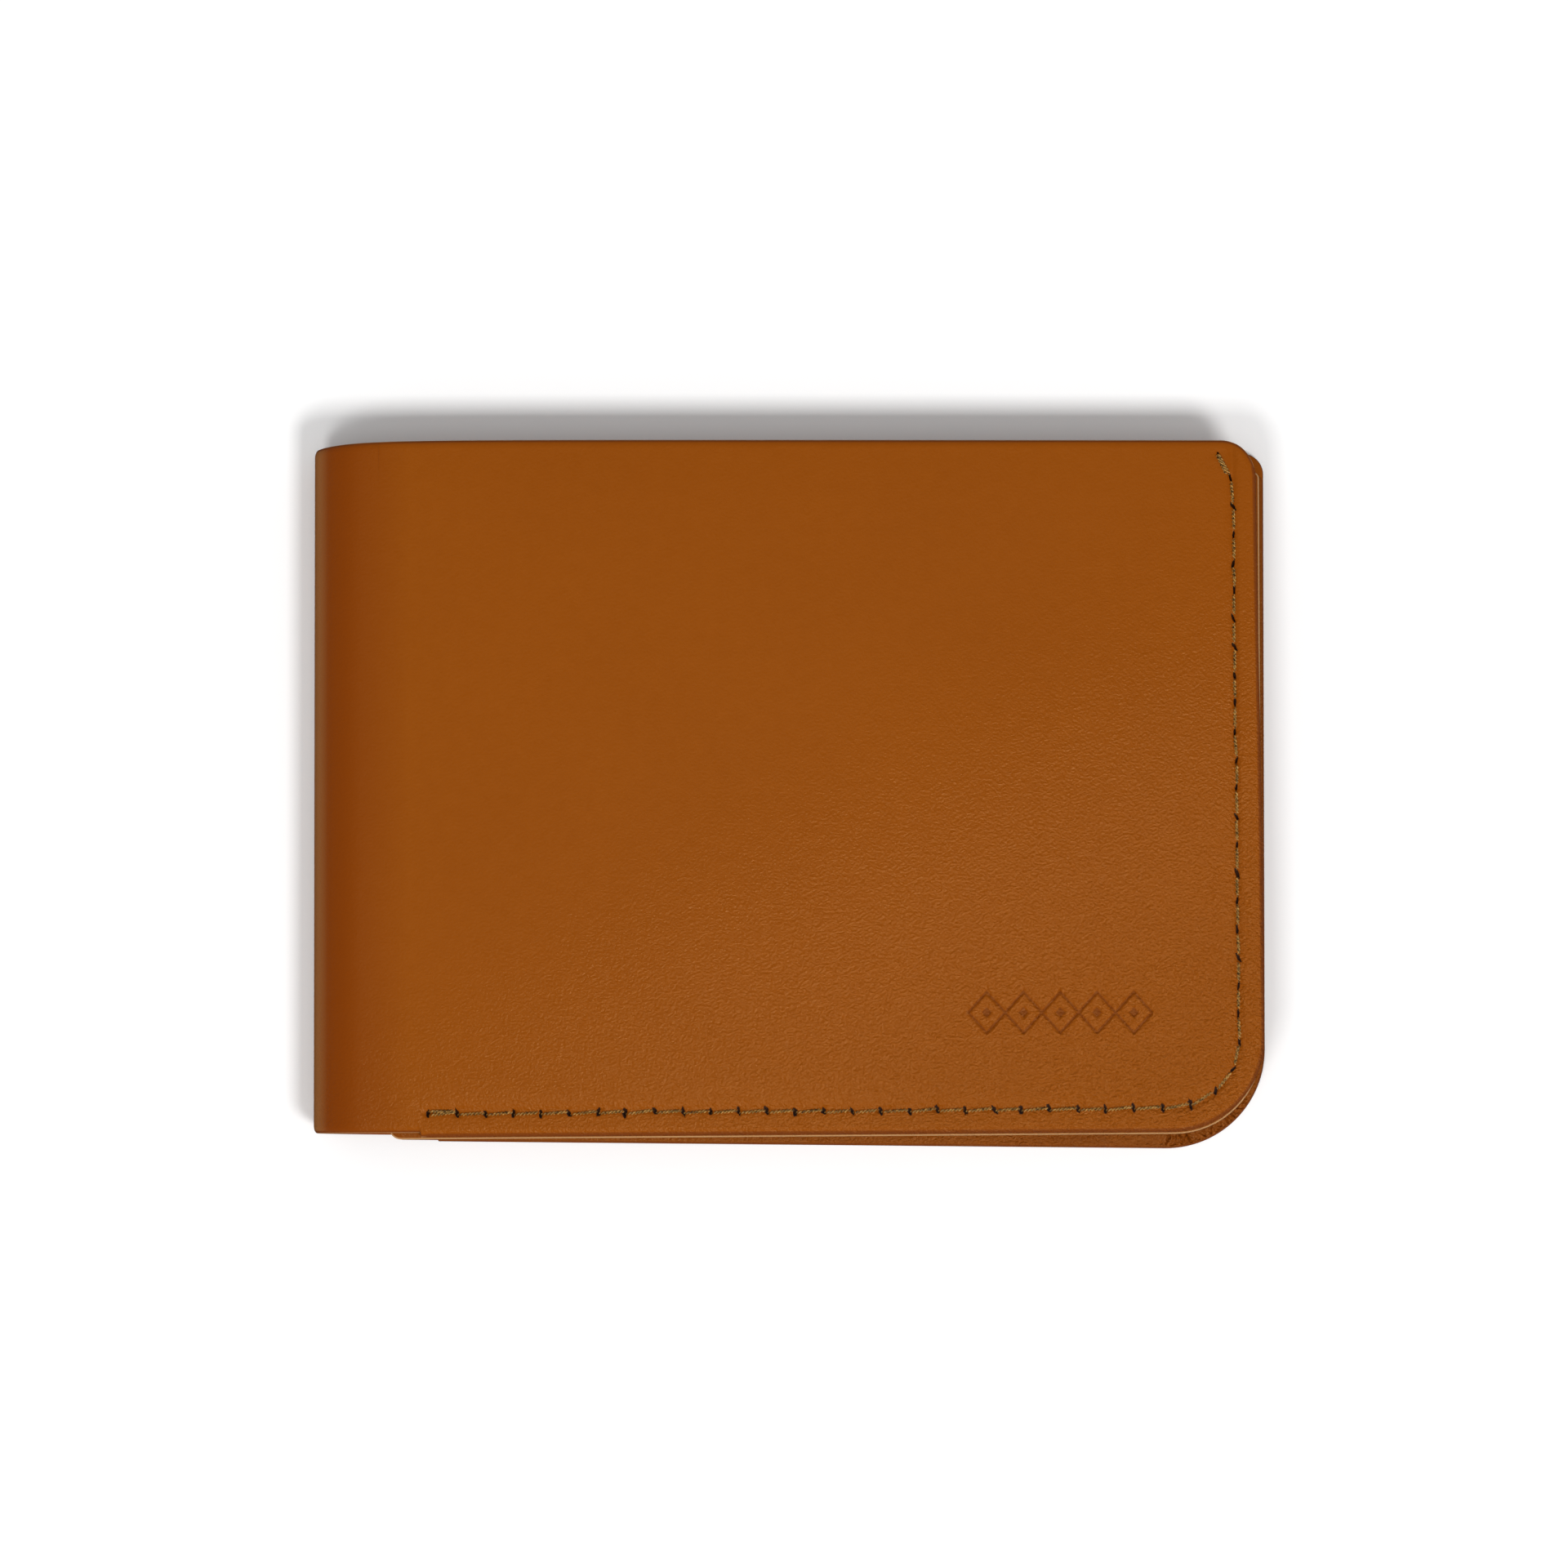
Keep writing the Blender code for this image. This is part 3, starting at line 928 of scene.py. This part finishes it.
def spine_rows(low_inset, high_inset, thickness, rows):
    """The cross-section of a strip round the spine: insets from either edge, depths and roundness."""
    rounded = roll(1.0, 9) + [(inset, 0.0) for inset in (1.2, 1.5, 1.8, 2.5)]
    plain = roll(0.3, 3)
    shown_low = [("low", low_inset + d, thickness / 2 * e, e) for d, e in rounded]
    shown_high = [("high", high_inset + d, thickness / 2 * e, e) for d, e in rounded]
    middle = [("share", k / rows, 0.0, 0.0) for k in range(1, rows)]
    hidden_high = [("high", high_inset + d, thickness * (1 - e / 2), e) for d, e in plain[1:]]
    hidden_low = [("low", low_inset + d, thickness * (1 - e / 2), e) for d, e in plain[1:]]
    hidden_middle = [("share", k / rows, thickness, 0.0) for k in range(rows - 1, 0, -1)]
    return shown_low + middle + shown_high[::-1] + hidden_high + hidden_middle + hidden_low[::-1]


def strip_object(name, half, stations, section, outer_depth, material, rim=1.0):
    """A strip across the fold, from the spine's middle to the last station, turned round the spine."""
    bottom, _, top = cover_sides(half)
    co = []
    flat = []
    edge = []
    for x in stations:
        low = bottom[0][1] + (x - bottom[0][0]) * half.bottom_lean
        high = top[0][1] + (x - top[0][0]) * half.top_lean
        ys = []
        depths = []
        for kind, place, depth, _ in section:
            span = {"low": low + place, "high": high - place}
            span["share"] = low + 2.5 + (high - low - 5.0) * place
            ys.append(span[kind])
            depths.append(outer_depth + depth)
        plan = shape_edges(half, np.stack([np.full(len(ys), x), np.array(ys)], 1))
        co.append(bent(half, plan[:, 0], plan[:, 1], np.array(depths)))
        flat.append(np.stack([flat_pattern(half, plan[:, 0]), plan[:, 1]], 1))
        edge += [min(RAW_SHARE * roundness, rim) for *_, roundness in section]
    faces = tube_faces(0, len(stations), len(section))
    obj = make_object(name, np.concatenate(co), faces, np.concatenate(flat), edge, [material])
    if half is BACK:
        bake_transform(obj)
    else:
        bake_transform(obj)
    return obj


def make_spine(half):
    stations = spread(FOLD_X, 0.3, TANGENT_X, 0.6, FLAT_START)
    section = spine_rows(0.0, 0.0, COVER, 40)
    name = "lower" if half is BACK else "upper"
    rim = BURNISH if half is BACK else 1.0
    wrap = strip_object(f"spine_leather_{name}", half, stations, section, 0.0, leather, rim)
    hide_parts("spine_cover")
    stations = spread(FOLD_X, 0.4, TANGENT_X, 0.8, POCKET_START)
    section = spine_rows(1.2, 3.4, 0.5, 30)
    depth = COVER + 0.12
    band = strip_object(f"spine_lining_{name}", half, stations, section, depth, panel_leather)
    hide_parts("spine_lining")


# ---------------------------------------------------------------- inner layers

# Depths of each layer's two faces, and how far it stops inside the cover's edge.
PANEL = (1.66, 2.24)
SLIP = (2.42, 2.92)
POCKETS = [(3.08, 3.58), (3.74, 4.24), (4.40, 4.90)]
POCKET_MARGIN = 1.9


def layer_outline(half, margin, start_x, mouth_y, start_corner):
    bottom, end, _ = [pushed_in(side, margin) for side in cover_sides(half)]
    mouth = ((0.0, mouth_y), (-1.0, 0.0))
    return Outline(bottom, end, mouth, start_x, half.corner - margin, 0.7, start_corner)


def pleats(half, x, y):
    """Gathers where the turned edge is folded round the corner: rounded ridges, sharp valleys."""
    center_x, center_y = corner_center(half)
    around = np.arctan2(y - center_y, x - center_x)
    reach = half.corner - np.hypot(x - center_x, y - center_y)
    uneven = around + 0.035 * np.sin(9 * around + 1.0) + 0.02 * np.sin(23 * around)
    uneven = uneven + 0.03 * np.sin(1.7 * reach + 11 * around)
    ridges = 0.65 * np.abs(np.sin(44 * uneven)) + 0.35 * np.abs(np.sin(69 * uneven + 0.8))
    at_corner = smooth(-1.95, -1.62, around) * (1 - smooth(-0.75, -0.35, around))
    return (1 - ridges) * at_corner * smooth(0.15, 0.45, reach) * (1 - smooth(4.5, 6.0, reach))


def make_layer(half, name, faces, outline, material, pleat_depth=0.0):
    """A flat panel or pocket: a creased line under its turned mouth, and a dip along its seams."""
    near, far = faces
    start_x, mouth_y = outline.start_x, outline.top[0][1]
    flat_end = arc_between(outline.bottom, outline.end, outline.corner, 2)[0][0]
    xs = spread(start_x + outline.start_corner, 1.6, flat_end)
    ys = spread(-31.0, 1.6, mouth_y - outline.top_corner)
    inset = SEAM_INSET - (half.end_x - outline.end[0][0])

    def sink(plan, distance):
        low, far_end, high = distance
        x, y = plan[:, 0], plan[:, 1]
        crease = 0.07 * bell(1.3, 0.28, high)
        seam = 0.13 * bell(inset, 0.5, np.minimum(low, far_end))
        pocket_seam = 0.13 * bell(POCKET_SEAM_X, 0.5, x)
        return crease + seam + pocket_seam + pleat_depth * pleats(half, x, y)

    further = (0.35, 0.6, 0.8, 0.95, 1.1, 1.3, 1.5, 1.7, 2.1, 2.6, 3.1, 3.6)
    parts = sheet_mesh(
        half,
        outline,
        near=level(near),
        far=level(far),
        xs=shares(xs),
        ys=shares(ys),
        arc=8 if pleat_depth == 0 else 90,
        detail="far",
        edges=(0.24, 4, further),
        feature=sink,
    )
    if material is panel_leather:
        plan, depth, edge, sheet_faces = parts
        parts = plan, depth, np.minimum(1.0, 6.0 * edge), sheet_faces
    obj = sheet_object(f"{half.name}_{name}_sheet", half, parts, [material])
    stand_in(obj, half, name)


def make_inner_layers(half):
    mouth_y = box_mm(f"{half.name}_inner_panel")[1][1]
    if half is BACK:  # its edge is gathered round the corner
        outline = layer_outline(half, 0.16, PANEL_START, mouth_y, 1.6)
        make_layer(half, "inner_panel", PANEL, outline, pocket_leather, 0.42)
    else:  # its raw edge stands a little past the cover's, and furthest near the mouth
        outline = layer_outline(half, -0.04, PANEL_START, mouth_y, 1.6)
        end = ((half.end_x - 0.06, 0.0), (half.end_lean + 0.0078, 1.0))
        outline = outline._replace(end=end, corner=10.8)
        make_layer(half, "inner_panel", PANEL, outline, panel_leather)
    layers = [("slip_panel", SLIP)]
    layers += [(f"card_pocket_{number}", faces) for number, faces in enumerate(POCKETS, start=1)]
    for name, faces in layers:
        mouth_y = box_mm(f"{half.name}_{name}")[1][1]
        outline = layer_outline(half, POCKET_MARGIN, POCKET_START, mouth_y, 1.6)
        make_layer(half, name, faces, outline, pocket_leather)


def make_lining(half):
    """The fabric glued inside the cover, between its turned edges."""
    outline = layer_outline(half, HEM_WIDTH, TANGENT_X + 3.0, SPINE_TO_TOP - HEM_WIDTH, 1.0)
    near, far = COVER + 0.05, COVER + 0.30
    parts = sheet_mesh(
        half,
        outline,
        near=level(near),
        far=level(far),
        xs=shares(spread(-48.0, 3.0, 48.0)),
        ys=shares(spread(-33.0, 3.0, 36.0)),
        arc=6,
        detail="far",
        edges=(0.1, 2, (0.5, 1.5)),
        feature=lambda plan, distance: 0.03 * np.sin(plan[:, 0] / 4) * np.sin(plan[:, 1] / 5),
    )
    obj = sheet_object(f"{half.name}_lining_fabric", half, parts, [lining])
    stand_in(obj, half, "note_lining")


# ---------------------------------------------------------------- thread

# Depths of the thread's middle at a stitch's two ends, and how far its ends then sink.
IN_VALLEY = (0.27, 0.27)
OUT_OF_VALLEY = (0.20, 0.0)  # the last stitch, which turns away from the valley
OUTER_SINK = 0.6


def inner_depth(half, y):
    """Depth of the innermost layer that a stitch at this height comes out on."""
    depth = HEM
    steps = [("inner_panel", PANEL), ("slip_panel", SLIP)]
    steps += [(f"card_pocket_{k + 1}", faces) for k, faces in enumerate(POCKETS)]
    for name, faces in steps:
        if y < box_mm(f"{half.name}_{name}")[1][1] - 0.4:
            depth = faces[1]
    return depth


def inner_stitch(half, start, stop, low, high):
    """A stitch over the innermost layers at these two heights."""
    depths = inner_depth(half, low) + 0.02, inner_depth(half, high) + 0.02
    return stitch_path(start, stop, *depths, -0.06, -0.35)


def make_edge_stitches(half, centers, gaps):
    """Both faces of the edge seam: thread over the cover, and its twin over the pockets.

    gaps is how far each slit reaches along the seam on either side of its center.
    """
    dice = np.random.default_rng(5)
    stitches = []
    for index in range(len(centers) - 1):
        one, two = centers[index], centers[index + 1]
        ahead = (two - one) / np.linalg.norm(two - one)
        across = np.array([-ahead[1], ahead[0]])
        first_gap, next_gap = ahead * gaps[index] * 0.72, ahead * gaps[index + 1] * 0.72
        slant = 0.24 if ahead[0] > 0.7 else 0.04  # more on the bottom row
        wander = dice.uniform(-0.05, 0.05, 2)
        start = one + first_gap - across * (slant + wander[0])
        stop = two - next_gap + across * (slant * 0.3 + wander[1])
        depths = IN_VALLEY if index < len(centers) - 2 else OUT_OF_VALLEY
        stitches.append(stitch_path(start, stop, *depths, 0.03, OUTER_SINK))
        if index in (0, len(centers) - 2):  # the seam's ends are sewn twice
            start, stop = one + first_gap + across * 0.24, two - next_gap + across * 0.2
            stitches.append(stitch_path(start, stop, *depths, 0.08, OUTER_SINK))
        start = one + ahead * 0.2 + across * 0.15
        stop = two - ahead * 0.2 - across * 0.15
        stitches.append(inner_stitch(half, start, stop, one[1], two[1]))
    obj = thread_object(f"{half.name}_edge_stitches", half, stitches)
    stand_in(obj, half, "edge_seam")


def make_pocket_stitches(half):
    """The row that closes the pockets beside the spine, on the innermost face."""
    low = box_mm(f"{half.name}_pocket_seam")[0][1]
    high = box_mm(f"{half.name}_slip_panel")[1][1] - 1.5
    count = round((high - low) / STITCH_PITCH)
    places = np.linspace(low, high, count + 1)
    stitches = []
    for one, two in zip(places, places[1:]):
        start = np.array([POCKET_SEAM_X - 0.08, one + 0.3])
        stop = np.array([POCKET_SEAM_X + 0.08, two - 0.3])
        stitches.append(inner_stitch(half, start, stop, one, two))
    obj = thread_object(f"{half.name}_pocket_stitches", half, stitches)
    stand_in(obj, half, "pocket_seam")


# ---------------------------------------------------------------- stage, light and camera


def make_stage():
    """A pale floor, 60 m wide so that its edge is far from every view."""
    size = 30.0
    mesh = bpy.data.meshes.new("floor")
    corners = [(-size, -size, 0.0), (size, -size, 0.0), (size, size, 0.0), (-size, size, 0.0)]
    mesh.from_pydata(corners, [], [(0, 1, 2, 3)])
    floor = bpy.data.objects.new("floor", mesh)
    floor.location.z = -0.00002
    bpy.context.scene.collection.objects.link(floor)
    material, _, shader = new_material("floor_paper")
    shader.inputs["Base Color"].default_value = (0.985, 0.985, 0.985, 1.0)
    shader.inputs["Roughness"].default_value = 0.9
    mesh.materials.append(material)
    floor.visible_glossy = False


def area_light(name, place, size, power):
    """A rectangle of light that faces straight down."""
    light = bpy.data.lights.new(name, "AREA")
    light.shape = "RECTANGLE"
    light.size, light.size_y = size
    light.energy = power
    obj = bpy.data.objects.new(name, light)
    obj.location = place
    bpy.context.scene.collection.objects.link(obj)
    return obj


SOFTBOX_HEIGHT = 2.7


def make_light():
    """A pale room, two softboxes past the bottom edge and one overhead, and a low light for sheen."""
    world = bpy.data.worlds.new("studio")
    world.use_nodes = True
    background = world.node_tree.nodes["Background"]
    background.inputs["Color"].default_value = (1.0, 1.0, 1.0, 1.0)
    background.inputs["Strength"].default_value = 0.40
    world.cycles_visibility.glossy = False
    bpy.context.scene.world = world
    for name, x, y, size, power in (
        ("right", 1.13, -1.33, 0.76, 57.0),
        ("left", -0.76, -1.33, 0.76, 30.0),
        ("over", 0.0, -0.2, 1.0, 6.5),
    ):
        softbox = area_light(f"softbox_{name}", (x, y, SOFTBOX_HEIGHT), (size, size), power)
        softbox.visible_glossy = False
    sheen = area_light("sheen", (0.105, -0.073, 0.12), (0.24, 0.03), 0.175)
    sheen.visible_diffuse = False
    sheen.visible_camera = False
    bpy.context.scene.view_settings.view_transform = "Standard"


def make_camera():
    """Nearly straight above, through a long lens, 192 mm across at the wallet's top face."""
    across = 0.192
    distance = 1.2
    elevation = math.radians(87.8)
    aim = Vector((-0.00075, 0.00115, THICKNESS * MM))
    camera = bpy.data.cameras.new("camera")
    camera.sensor_width = 36.0
    camera.lens = 36.0 * distance / across
    camera.clip_end = 50.0
    obj = bpy.data.objects.new("camera", camera)
    obj.location = aim + Vector((0.0, -math.cos(elevation), math.sin(elevation))) * distance
    obj.rotation_euler = (math.pi / 2 - elevation, 0.0, 0.0)
    bpy.context.scene.collection.objects.link(obj)
    bpy.context.scene.camera = obj


make_camera()
make_light()
make_stage()
for half in (BACK, FRONT):
    slits = make_cover(half)
    make_spine(half)
    make_inner_layers(half)
    make_lining(half)
    make_edge_stitches(half, *slits)
    make_pocket_stitches(half)
